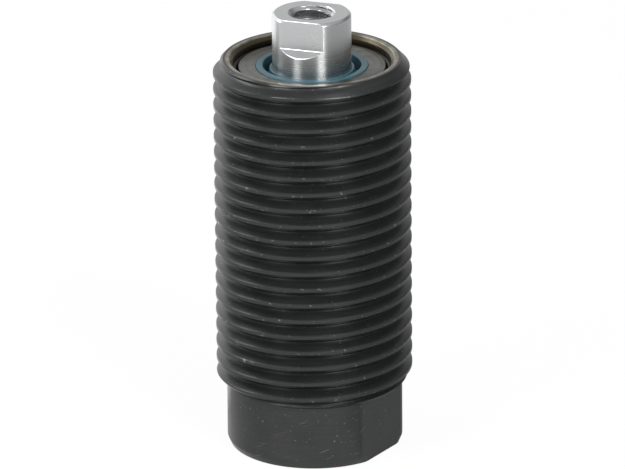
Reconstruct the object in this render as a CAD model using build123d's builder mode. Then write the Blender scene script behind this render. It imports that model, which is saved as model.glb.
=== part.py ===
from build123d import *
from math import degrees
import os

# Single-acting hydraulic cylinder with a threaded body, a spring-returned plunger and an oil port
# in its base. Millimetres, +Z up along the bore, origin at the centre of the base's underside,
# drawn with the plunger fully in.

# Clearances
running_gap = 0.05       # radial, between a sliding steel piece and its bore
seal_gap = 0.03          # radial, between a seal lip or guide ring and the wall it runs on
snug_gap = 0.01          # radial, where a ring fills its groove
end_gap = 0.05           # axial, where one piece stops on another
root_gap = 0.2           # round the fillet at the rod's root, when the piston meets the rod guide

# Widths that stack up from the rod to the outside of the thread, 25 mm across in all
rod_diameter = 10.0
guide_nose_wall = 1.15
spring_inner_gap = 0.5
spring_wire_diameter = 1.5
spring_outer_gap = 0.55
guide_seat_step = 1.25
body_wall = 1.2
thread_depth = 1.3

# Strokes and lengths that stack up to the body's height, 51.5 mm in all
bore_floor_height = 11.0
piston_boss_height = 0.95
piston_height = 8.5
stroke = 13.0
guide_nose_length = 10.95
guide_flange_height = 6.0
guide_recess = 1.0

# Body, outside
thread_start_chamfer = 1.25
thread_end_height = 1.3
base_height = 8.3
base_flat_depth = 1.1
base_edge_inset = 0.4
base_edge_height = 0.9

# Body, inside
bore_lead = 0.3
mouth_chamfer = 0.5
port_diameter = 8.6
port_depth = 7.0
port_chamfer = 0.95
filter_step = 1.3
filter_pocket_depth = 2.0
filter_thickness = 1.6
filter_edge = 0.2
oil_passage_diameter = 3.0

# Plunger
tip_projection = 6.0
tip_edge = 0.3
tip_flat_depth = 0.9
tip_flat_height = 3.7
tip_flat_turn = 14.0     # degrees, how far the plunger stands turned in its bore
tip_hole_diameter = 5.1
tip_hole_depth = 12.0
tip_hole_chamfer = 0.45
drill_point_height = 1.5
piston_boss_inset = 3.2
piston_edge = 0.4
piston_root_radius = 0.4

# Piston packing
seal_section = 2.45
seal_groove_start = 1.2
seal_cup_height = 2.4
seal_cup_lip = 0.65
seal_cup_heel = 0.55
backup_ring_height = 1.0
wear_ring_thickness = 0.75
wear_ring_height = 1.9
wear_ring_end_gap = 0.8
wear_groove_top = 0.8

# Rod guide, its bearing ring and its seals
guide_edge = 0.3
bearing_section = 1.0
bearing_ring_height = 2.8
bearing_ring_end_gap = 0.6
wiper_web = 0.6
oring_groove_depth = 1.2
oring_groove_height = 1.9
oring_groove_start = 1.25
wiper_section = 2.1
wiper_height = 2.4
wiper_heel = 0.9
wiper_rim_width = 0.85
wiper_rim_slope = 0.3
wiper_proud = 0.15
wiper_rim_edge = 0.12
wiper_lip_thickness = 0.35
wiper_lip_flare = 0.2
wiper_lip_proud = 0.3

# Round-wire ring that holds the rod guide in
ring_wire_diameter = 1.1
ring_step_depth = 0.7
ring_play = 0.1
ring_sink = 0.15
ring_end_gap = 3.0
ring_gap_turn = 123.0    # degrees, where the ring's open ends stand

# Return spring
spring_active_turns = 5
spring_ground_depth = 0.4
spring_coil_gap = 0.05

# Heights that follow from the stack
piston_bottom = bore_floor_height + end_gap + piston_boss_height
piston_top = piston_bottom + piston_height
guide_nose_end = piston_top + stroke + end_gap
guide_shoulder = guide_nose_end + guide_nose_length
guide_top = guide_shoulder + guide_flange_height
body_height = guide_top + guide_recess
tip_height = body_height + tip_projection
filter_pocket_top = port_depth + filter_pocket_depth

# Radii that follow from the stack
rod_radius = rod_diameter / 2
guide_bore_radius = rod_radius + running_gap
guide_nose_radius = guide_bore_radius + guide_nose_wall
spring_radius = guide_nose_radius + spring_inner_gap + spring_wire_diameter / 2
bore_radius = spring_radius + spring_wire_diameter / 2 + spring_outer_gap
guide_seat_radius = bore_radius + guide_seat_step
base_radius = guide_seat_radius + body_wall
thread_radius = base_radius + thread_depth
piston_radius = bore_radius - running_gap
lip_radius = bore_radius - seal_gap
guide_radius = guide_seat_radius - running_gap
ring_step_radius = guide_seat_radius - ring_step_depth
ring_radius = ring_step_radius + ring_play + ring_wire_diameter / 2
ring_height = guide_top - ring_sink - ring_wire_diameter / 2
port_radius = port_diameter / 2
filter_radius = port_radius - filter_step


def open_angle(gap, radius):
    """Degrees that a gap of this width takes out of a ring of this radius."""
    return degrees(gap / radius)


# Body: threaded barrel and flatted base in one bar, drawn at the thread's outside diameter
with BuildPart() as cylinder_body:
    with BuildSketch(Plane.XZ):
        with BuildLine():
            Polyline(
                (0, 0),
                (base_radius - base_edge_inset, 0),
                (base_radius, base_edge_height),
                (base_radius, base_height),
                (thread_radius, base_height + thread_end_height),
                (thread_radius, body_height - thread_start_chamfer),
                (thread_radius - thread_start_chamfer, body_height),
                (0, body_height),
                close=True,
            )
        make_face()
    revolve(axis=Axis.Z)

    # Two wrench flats across the base
    with BuildSketch(Plane.XY):
        Circle(2 * base_radius)
        Rectangle(2 * (base_radius - base_flat_depth), 4 * base_radius, mode=Mode.SUBTRACT)
    extrude(amount=base_height, mode=Mode.SUBTRACT)

    # Bore, seat and mouth for the rod guide, with the groove of its wire ring
    with BuildSketch(Plane.XZ):
        with BuildLine():
            Polyline(
                (0, bore_floor_height),
                (bore_radius, bore_floor_height),
                (bore_radius, guide_shoulder - bore_lead),
                (bore_radius + bore_lead, guide_shoulder),
                (guide_seat_radius, guide_shoulder),
                (guide_seat_radius, body_height - mouth_chamfer),
                (guide_seat_radius + mouth_chamfer, body_height),
                (0, body_height),
                close=True,
            )
        make_face()
        with Locations((ring_radius, ring_height)):
            Circle(ring_wire_diameter / 2 + seal_gap)
    revolve(axis=Axis.Z, mode=Mode.SUBTRACT)

    # Oil port, filter pocket and passage to the bore
    with BuildSketch(Plane.XZ):
        with BuildLine():
            Polyline(
                (0, 0),
                (port_radius + port_chamfer, 0),
                (port_radius, port_chamfer),
                (port_radius, port_depth),
                (filter_radius, port_depth),
                (filter_radius, filter_pocket_top),
                (oil_passage_diameter / 2, filter_pocket_top),
                (oil_passage_diameter / 2, bore_floor_height),
                (0, bore_floor_height),
                close=True,
            )
        make_face()
    revolve(axis=Axis.Z, mode=Mode.SUBTRACT)

# Sintered filter disc in the end of the oil port
with BuildPart() as port_filter:
    with BuildSketch(Plane.XY.offset(filter_pocket_top - filter_thickness)):
        Circle(filter_radius - snug_gap)
    extrude(amount=filter_thickness)
    chamfer(port_filter.edges().group_by(Axis.Z)[0], length=filter_edge)

# Plunger: rod and piston turned from one bar
seal_groove_bottom = piston_bottom + seal_groove_start
seal_groove_top = seal_groove_bottom + end_gap + seal_cup_height + backup_ring_height + end_gap
wear_groove_end = piston_top - wear_groove_top
wear_groove_bottom = wear_groove_end - wear_ring_height - 2 * end_gap
wear_groove_radius = piston_radius - wear_ring_thickness
seal_groove_radius = piston_radius - seal_section
tip_flat_radius = rod_radius - tip_flat_depth

with BuildPart() as plunger:
    with BuildSketch(Plane.XZ):
        with BuildLine():
            Polyline(
                (0, piston_bottom - piston_boss_height),
                (piston_radius - piston_boss_inset, piston_bottom - piston_boss_height),
                (piston_radius - piston_boss_inset, piston_bottom),
                (piston_radius - piston_edge, piston_bottom),
                (piston_radius, piston_bottom + piston_edge),
                (piston_radius, seal_groove_bottom),
                (seal_groove_radius, seal_groove_bottom),
                (seal_groove_radius, seal_groove_top),
                (piston_radius, seal_groove_top),
                (piston_radius, wear_groove_bottom),
                (wear_groove_radius, wear_groove_bottom),
                (wear_groove_radius, wear_groove_end),
                (piston_radius, wear_groove_end),
                (piston_radius, piston_top),
                (rod_radius, piston_top),
                (rod_radius, tip_height - tip_edge),
                (rod_radius - tip_edge, tip_height),
                (0, tip_height),
                close=True,
            )
        make_face()
    revolve(axis=Axis.Z)
    root = plunger.edges().filter_by(GeomType.CIRCLE)
    root = root.filter_by(lambda edge: abs(edge.radius - rod_radius) < snug_gap)
    fillet(root.sort_by(Axis.Z)[0], radius=piston_root_radius)

    # Two wrench flats at the tip, which run out at 45 degrees
    flat_normal = Vector(0, -1, 0).rotate(Axis.Z, tip_flat_turn)
    flat_bottom = tip_height - tip_flat_height
    run_out = tip_flat_depth + tip_edge
    with BuildSketch(Plane(origin=(0, 0, 0), x_dir=flat_normal, z_dir=flat_normal.cross(Vector(0, 0, 1)))):
        with BuildLine():
            Polyline(
                (tip_flat_radius, flat_bottom),
                (tip_flat_radius + run_out, flat_bottom - run_out),
                (tip_flat_radius + run_out, tip_height),
                (tip_flat_radius, tip_height),
                close=True,
            )
        make_face()
        mirror(about=Plane.YZ)
    extrude(amount=rod_radius, both=True, mode=Mode.SUBTRACT)

    # Tapped hole in the tip, at its tapping size
    with BuildSketch(Plane.XZ):
        with BuildLine():
            Polyline(
                (0, tip_height),
                (tip_hole_diameter / 2 + tip_hole_chamfer, tip_height),
                (tip_hole_diameter / 2, tip_height - tip_hole_chamfer),
                (tip_hole_diameter / 2, tip_height - tip_hole_depth),
                (0, tip_height - tip_hole_depth - drill_point_height),
                close=True,
            )
        make_face()
    revolve(axis=Axis.Z, mode=Mode.SUBTRACT)

# Piston seal: a lipped cup that opens towards the oil
cup_bottom = seal_groove_bottom + end_gap
cup_top = cup_bottom + seal_cup_height
cup_inner = seal_groove_radius + snug_gap
channel_radius = (lip_radius - cup_inner) / 2 - seal_cup_lip
channel_centre = (lip_radius + cup_inner) / 2
channel_height = cup_top - seal_cup_heel - channel_radius

with BuildPart() as piston_seal_cup:
    with BuildSketch(Plane.XZ):
        with BuildLine():
            Polyline(
                (cup_inner, cup_bottom),
                (lip_radius, cup_bottom),
                (lip_radius, cup_top),
                (cup_inner, cup_top),
                close=True,
            )
        make_face()
        with Locations((channel_centre, channel_height)):
            Circle(channel_radius, mode=Mode.SUBTRACT)
        with Locations((channel_centre, cup_bottom)):
            Rectangle(
                2 * channel_radius,
                channel_height - cup_bottom,
                align=(Align.CENTER, Align.MIN),
                mode=Mode.SUBTRACT,
            )
    revolve(axis=Axis.Z)

# Rubber ring that spreads the cup's lips
with BuildPart() as seal_energiser_ring:
    with BuildSketch(Plane.XZ):
        with Locations((channel_centre, channel_height)):
            Circle(channel_radius - snug_gap)
    revolve(axis=Axis.Z)

# Hard ring behind the cup
with BuildPart() as seal_backup_ring:
    with BuildSketch(Plane.XY.offset(cup_top)):
        Circle(lip_radius)
        Circle(cup_inner, mode=Mode.SUBTRACT)
    extrude(amount=backup_ring_height)

# Split wear ring that carries the piston in the bore
with BuildPart() as piston_wear_ring:
    wear_angle = open_angle(wear_ring_end_gap, lip_radius)
    with BuildSketch(Plane.XZ):
        with Locations((wear_groove_radius + snug_gap, wear_groove_bottom + end_gap)):
            Rectangle(
                lip_radius - wear_groove_radius - snug_gap,
                wear_ring_height,
                align=(Align.MIN, Align.MIN),
            )
    revolve(axis=Axis.Z, revolution_arc=360 - wear_angle)

# Rod guide: flange on the body's shoulder and a nose that stops the piston
wiper_floor = guide_top - wiper_height
bearing_top = wiper_floor - wiper_web
bearing_bottom = bearing_top - bearing_ring_height
oring_groove_bottom = guide_shoulder + oring_groove_start
oring_groove_top = oring_groove_bottom + oring_groove_height
oring_groove_radius = guide_radius - oring_groove_depth
ring_step_height = ring_height - ring_wire_diameter / 2
guide_nose_lead = piston_root_radius + root_gap
bearing_radius = rod_radius + bearing_section
wiper_pocket_radius = rod_radius + wiper_section

with BuildPart() as rod_guide:
    with BuildSketch(Plane.XZ):
        with BuildLine():
            Polyline(
                (guide_bore_radius, guide_nose_end + guide_nose_lead),
                (guide_bore_radius + guide_nose_lead, guide_nose_end),
                (guide_nose_radius, guide_nose_end),
                (guide_nose_radius, guide_shoulder),
                (guide_radius - guide_edge, guide_shoulder),
                (guide_radius, guide_shoulder + guide_edge),
                (guide_radius, oring_groove_bottom),
                (oring_groove_radius, oring_groove_bottom),
                (oring_groove_radius, oring_groove_top),
                (guide_radius, oring_groove_top),
                (guide_radius, ring_step_height),
                (ring_step_radius, ring_step_height),
                (ring_step_radius, guide_top),
                (wiper_pocket_radius, guide_top),
                (wiper_pocket_radius, wiper_floor),
                (guide_bore_radius, wiper_floor),
                (guide_bore_radius, bearing_top),
                (bearing_radius, bearing_top),
                (bearing_radius, bearing_bottom),
                (guide_bore_radius, bearing_bottom),
                close=True,
            )
        make_face()
    revolve(axis=Axis.Z)

# Split bearing ring that the rod runs in
with BuildPart() as rod_bearing_ring:
    bearing_angle = open_angle(bearing_ring_end_gap, bearing_radius)
    with BuildSketch(Plane.XZ):
        with Locations((rod_radius + seal_gap, bearing_bottom + end_gap)):
            Rectangle(
                bearing_radius - snug_gap - rod_radius - seal_gap,
                bearing_ring_height - 2 * end_gap,
                align=(Align.MIN, Align.MIN),
            )
    revolve(axis=Axis.Z, revolution_arc=360 - bearing_angle)

# O-ring round the rod guide, at its squeezed height
oring_section = (guide_seat_radius - oring_groove_radius) / 2
with BuildPart() as guide_oring:
    with BuildSketch(Plane.XZ):
        with Locations((oring_groove_radius + oring_section, (oring_groove_bottom + oring_groove_top) / 2)):
            Circle(oring_section - snug_gap)
    revolve(axis=Axis.Z)

# Wiper: a rim in the guide's pocket, a moat, and a lip that hugs the rod
wiper_bottom = wiper_floor + snug_gap
wiper_top = guide_top + wiper_proud
wiper_outer = wiper_pocket_radius - snug_gap
rim_inner = wiper_outer - wiper_rim_width
lip_inner = rod_radius + seal_gap
lip_outer = lip_inner + wiper_lip_thickness

with BuildPart() as rod_wiper:
    with BuildSketch(Plane.XZ):
        with BuildLine():
            Polyline(
                (lip_inner + wiper_lip_flare, wiper_bottom),
                (wiper_outer, wiper_bottom),
                (wiper_outer, wiper_top - wiper_rim_edge),
                (wiper_outer - wiper_rim_edge, wiper_top),
                (rim_inner + wiper_rim_edge, wiper_top),
                (rim_inner, wiper_top - wiper_rim_edge),
                (rim_inner - wiper_rim_slope, wiper_bottom + wiper_heel),
                (lip_outer + wiper_lip_flare, wiper_bottom + wiper_heel),
                (lip_outer, guide_top + wiper_lip_proud),
                (lip_inner, guide_top + wiper_lip_proud),
                (lip_inner, guide_top),
                close=True,
            )
        make_face()
    revolve(axis=Axis.Z)

# Round-wire ring, sprung into the body's groove over the guide's step
with BuildPart() as retaining_ring:
    gap_angle = open_angle(ring_end_gap, ring_radius)
    ring_start = Plane.XZ.rotated((0, 0, ring_gap_turn + gap_angle / 2))
    with BuildSketch(ring_start):
        with Locations((ring_radius, ring_height)):
            Circle(ring_wire_diameter / 2)
    revolve(axis=Axis.Z, revolution_arc=360 - gap_angle)

# Return spring, closed and ground at both ends
closed_pitch = spring_wire_diameter + spring_coil_gap
spring_bottom = piston_top + snug_gap
spring_top = guide_shoulder - snug_gap
coil_start = spring_bottom - spring_ground_depth
coil_end = spring_top + spring_ground_depth
active_pitch = (coil_end - coil_start - 2 * closed_pitch) / spring_active_turns
coils = [
    (coil_start, closed_pitch, 1),
    (coil_start + closed_pitch, active_pitch, spring_active_turns),
    (coil_end - closed_pitch, closed_pitch, 1),
]

with BuildPart() as return_spring:
    for start, pitch, turns in coils:
        with BuildLine(Plane.XY.offset(start)) as coil:
            Helix(pitch=pitch, height=pitch * turns, radius=spring_radius)
        with BuildSketch(Plane(origin=coil.line @ 0, z_dir=coil.line % 0)):
            Circle(spring_wire_diameter / 2)
        sweep(path=coil.line, is_frenet=True)
    split(bisect_by=Plane.XY.offset(spring_bottom), keep=Keep.TOP)
    split(bisect_by=Plane.XY.offset(spring_top), keep=Keep.BOTTOM)

pieces = {
    "cylinder_body": cylinder_body,
    "port_filter": port_filter,
    "plunger": plunger,
    "piston_seal_cup": piston_seal_cup,
    "seal_energiser_ring": seal_energiser_ring,
    "seal_backup_ring": seal_backup_ring,
    "piston_wear_ring": piston_wear_ring,
    "rod_guide": rod_guide,
    "rod_bearing_ring": rod_bearing_ring,
    "guide_oring": guide_oring,
    "rod_wiper": rod_wiper,
    "retaining_ring": retaining_ring,
    "return_spring": return_spring,
}

os.makedirs("parts", exist_ok=True)
for name, piece in pieces.items():
    piece.part.label = name
    export_step(piece.part, f"parts/{name}.step")
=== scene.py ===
import logging
import math
from dataclasses import dataclass, fields
from enum import Enum

import bmesh
import bpy
from mathutils import Matrix, Vector


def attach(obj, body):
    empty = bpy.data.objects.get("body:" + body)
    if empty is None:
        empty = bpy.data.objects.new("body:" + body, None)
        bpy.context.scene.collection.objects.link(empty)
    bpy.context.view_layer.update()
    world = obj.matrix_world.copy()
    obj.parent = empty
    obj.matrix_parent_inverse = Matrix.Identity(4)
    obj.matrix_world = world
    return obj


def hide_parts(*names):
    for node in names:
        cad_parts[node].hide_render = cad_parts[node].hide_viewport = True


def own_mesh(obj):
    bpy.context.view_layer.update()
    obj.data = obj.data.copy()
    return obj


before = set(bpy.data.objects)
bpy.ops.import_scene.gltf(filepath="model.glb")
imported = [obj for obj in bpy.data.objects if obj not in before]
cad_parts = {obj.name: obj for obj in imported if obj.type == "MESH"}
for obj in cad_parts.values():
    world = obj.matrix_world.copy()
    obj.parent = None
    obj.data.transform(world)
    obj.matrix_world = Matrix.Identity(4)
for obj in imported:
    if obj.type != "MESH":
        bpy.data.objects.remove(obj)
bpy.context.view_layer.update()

MM = 0.001
INCH = 25.4
log = logging.getLogger("cylinder")

MATH = "ShaderNodeMath"
VECTOR = "ShaderNodeVectorMath"
MIX = "ShaderNodeMix"
RANGE = "ShaderNodeMapRange"
NOISE = "ShaderNodeTexNoise"
AMOUNT = "NodeSocketFloat"
COUNT = "NodeSocketInt"
FINISH = "NodeSocketMaterial"
WHITE = (1.0, 1.0, 1.0, 1.0)
ROUND = math.inf
WELD = 2e-7
TINY = 1e-8

Tree = bpy.types.NodeTree
Node = bpy.types.Node
Socket = bpy.types.NodeSocket
Material = bpy.types.Material
Mesh = bpy.types.Mesh
Piece = bpy.types.Object
Skin = bmesh.types.BMesh
Point = tuple[float, float]
Look = tuple[Socket, Socket]
Profile = list[tuple[float, float, float]]
Rings = list[tuple[float, float, float]]


def linear(code: str) -> tuple[float, float, float, float]:
    """Turns an sRGB hex colour into the linear colour a shader takes.

    Args:
        code: six hex digits, red first.

    Returns:
        Red, green, blue and alpha, each 0 to 1.
    """
    channels = [int(code[i : i + 2], 16) / 255 for i in (0, 2, 4)]
    light = [c / 12.92 if c <= 0.04045 else ((c + 0.055) / 1.055) ** 2.4 for c in channels]
    return (*light, 1.0)


def feed(tree: Tree, node: Node, links: dict) -> None:
    """Gives a node's inputs what they take.

    Args:
        tree: the tree that holds the node.
        node: the node.
        links: what each input gets, by name or number: a value, a socket, or a node for its
            first output.
    """
    for key, value in links.items():
        if isinstance(value, Node):
            value = value.outputs[0]
        if isinstance(value, Socket):
            tree.links.new(value, node.inputs[key])
        else:
            node.inputs[key].default_value = value


def add_node(tree: Tree, kind: str, links: dict | None = None, **settings: object) -> Node:
    """Adds one node to a tree.

    Args:
        tree: the tree that takes the node.
        kind: the node's type.
        links: what its inputs get, as feed takes it.
        **settings: the node's own properties.

    Returns:
        The new node.
    """
    node = tree.nodes.new(kind)
    for name, value in settings.items():
        setattr(node, name, value)
    feed(tree, node, links or {})
    return node


def grow(tree: Tree, name: str, values: dict[str, object]) -> Mesh:
    """Runs a geometry tree once and keeps the result as a plain mesh.

    Args:
        tree: the geometry node tree.
        name: the mesh's name.
        values: what each of the tree's named inputs gets.

    Returns:
        The mesh, with no modifier left on it.
    """
    holder = bpy.data.objects.new(name, bpy.data.meshes.new(name))
    bpy.context.scene.collection.objects.link(holder)
    modifier = holder.modifiers.new("grow", "NODES")
    modifier.node_group = tree
    for item in tree.interface.items_tree:
        if item.in_out == "INPUT":
            modifier[item.identifier] = values[item.name]
    bpy.context.view_layer.update()
    graph = bpy.context.evaluated_depsgraph_get()
    mesh = bpy.data.meshes.new_from_object(holder.evaluated_get(graph))
    mesh.name = name
    bpy.data.objects.remove(holder)
    return mesh


def new_tree(name: str, sockets: dict[str, str]) -> tuple[Tree, Node]:
    """Starts a geometry tree.

    Args:
        name: the tree's name.
        sockets: the kind of each named input.

    Returns:
        The tree and its input node.
    """
    tree = bpy.data.node_groups.new(name, "GeometryNodeTree")
    tree.interface.new_socket("Geometry", in_out="OUTPUT", socket_type="NodeSocketGeometry")
    for key, kind in sockets.items():
        tree.interface.new_socket(key, in_out="INPUT", socket_type=kind)
    return tree, add_node(tree, "NodeGroupInput")


def wrap(tree: Tree, shape: Node, radius: Node | Socket, angle: Node, height: Node) -> Node:
    """Sets each point of a shape at its own radius, angle and height about the bore axis.

    Args:
        tree: the geometry tree.
        shape: what is wrapped.
        radius: each point's radius.
        angle: each point's angle.
        height: each point's height.

    Returns:
        The wrapped shape.
    """
    spot = {"Z": height}
    for axis, turn in (("X", "COSINE"), ("Y", "SINE")):
        share = add_node(tree, MATH, {0: angle}, operation=turn)
        spot[axis] = add_node(tree, MATH, {0: radius, 1: share}, operation="MULTIPLY")
    spot = add_node(tree, "ShaderNodeCombineXYZ", spot)
    return add_node(tree, "GeometryNodeSetPosition", {"Geometry": shape, "Position": spot})


def close_tree(tree: Tree, shape: Node, material: Socket) -> Tree:
    """Ends a geometry tree.

    Args:
        tree: the tree.
        shape: what it has made, instances and all.
        material: the input that holds the finish.

    Returns:
        The same tree.
    """
    real = add_node(tree, "GeometryNodeRealizeInstances", {"Geometry": shape})
    dressed = add_node(tree, "GeometryNodeSetMaterial", {"Geometry": real, "Material": material})
    add_node(tree, "NodeGroupOutput", {0: dressed})
    return tree


def label(name: str) -> str:
    """Turns the name of a field into the name of the tree's input that it feeds."""
    return name.capitalize().replace("_", " ")


def rounded(profile: Profile, steps: int = 3) -> list[Point]:
    """Rounds the corners of a section.

    Args:
        profile: radius, height and corner radius of each point, in mm, round the section.
        steps: how many facets an arc gets.

    Returns:
        Radius and height of each point of the rounded section, in mm.
    """
    points: list[Point] = []
    for i, (r, z, size) in enumerate(profile):
        here = Vector((r, z))
        before, after = (Vector(profile[(i + k) % len(profile)][:2]) - here for k in (-1, 1))
        if size <= 0 or before.length < 1e-9 or after.length < 1e-9:
            points.append((r, z))
            continue
        half = before.angle(after) / 2
        reach = min(size / math.tan(half), before.length * 0.49, after.length * 0.49)
        start, end = here + before.normalized() * reach, here + after.normalized() * reach
        for k in range(steps + 1):
            t = k / steps
            a, b = start.lerp(here, t), here.lerp(end, t)
            points.append(tuple(a.lerp(b, t)))
    return points


def lathe(rings: Rings, angles: list[float], turn: float = 0.0, closed: bool = False) -> Skin:
    """Turns a section about the bore axis.

    Args:
        rings: radius, height and half width across flats of each ring, in mm.
        angles: where the columns stand round the axis, in radians.
        turn: the angle that the flats face, in radians.
        closed: whether the last ring joins the first.

    Returns:
        The turned skin, in metres.
    """
    skin = bmesh.new()
    rows = []
    for radius, height, half_width in rings:
        row = []
        for angle in angles:
            across = abs(math.cos(angle - turn))
            reach = MM * (min(radius, half_width / across) if across > 1e-6 else radius)
            spot = (reach * math.cos(angle), reach * math.sin(angle), height * MM)
            row.append(skin.verts.new(spot))
        rows.append(row)
    for low, high in list(zip(rows, rows[1:])) + ([(rows[-1], rows[0])] if closed else []):
        for j, k in zip(range(len(angles)), [*range(1, len(angles)), 0]):
            skin.faces.new((low[j], low[k], high[k], high[j]))
    return skin


def columns(count: int, start: float = 0.0) -> list[float]:
    """Spreads columns evenly round the axis, from a start angle in radians."""
    return [start + 2 * math.pi * j / count for j in range(count)]


def smooth(profile: Profile, steps: int = 3, half_width: float = ROUND) -> Rings:
    """Rounds a section's corners and gives each of its rings the same flats."""
    return [(r, z, half_width) for r, z in rounded(profile, steps)]


def join(name: str, skins: list[Skin], meshes: list[Mesh] | None = None) -> Mesh:
    """Welds skins that share their rims into one closed mesh, faces outwards.

    Args:
        name: the mesh's name.
        skins: the turned skins.
        meshes: skins that geometry trees made.

    Returns:
        The welded mesh.
    """
    whole = bmesh.new()
    for skin in skins:
        piece = bpy.data.meshes.new(name)
        skin.to_mesh(piece)
        skin.free()
        whole.from_mesh(piece)
        bpy.data.meshes.remove(piece)
    for mesh in meshes or []:
        whole.from_mesh(mesh)
        bpy.data.meshes.remove(mesh)
    bmesh.ops.remove_doubles(whole, verts=whole.verts, dist=WELD)
    bmesh.ops.dissolve_degenerate(whole, dist=TINY, edges=whole.edges)
    bmesh.ops.recalc_face_normals(whole, faces=whole.faces)
    open_edges = sum(1 for edge in whole.edges if not edge.is_manifold)
    mesh = bpy.data.meshes.new(name)
    whole.to_mesh(mesh)
    whole.free()
    log.info("%s: %d faces, %d open edges", name, len(mesh.polygons), open_edges)
    return mesh


def finish_piece(
    mesh: Mesh,
    material: Material,
    body: str,
    node: str = "",
    crease: float = 30.0,
) -> Piece:
    """Puts a mesh in the scene, as a rule in place of its CAD node.

    Args:
        mesh: the finished mesh, in the row frame.
        material: its finish.
        body: the CAD body it moves with.
        node: the CAD node it stands for, if it stands for one.
        crease: edges sharper than this, in degrees, stay crisp.

    Returns:
        The piece's object.
    """
    mesh.materials.clear()
    mesh.materials.append(material)
    mesh.polygons.foreach_set("material_index", [0] * len(mesh.polygons))
    mesh.polygons.foreach_set("use_smooth", [True] * len(mesh.polygons))
    mesh.set_sharp_from_angle(angle=math.radians(crease))
    piece = bpy.data.objects.new(mesh.name, mesh)
    bpy.context.scene.collection.objects.link(piece)
    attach(piece, body)
    if node:
        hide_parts(node)
    return piece


def dress(node: str, material: Material) -> None:
    """Gives a CAD node that stays in view its finish.

    Args:
        node: the node's name.
        material: the finish.
    """
    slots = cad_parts[node].data.materials
    slots.clear()
    slots.append(material)
    log.info("%s: dressed in %s", node, material.name)


class Side(Enum):
    """Which way a thread's crests point."""

    OUTER = 1.0
    INNER = -1.0


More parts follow.
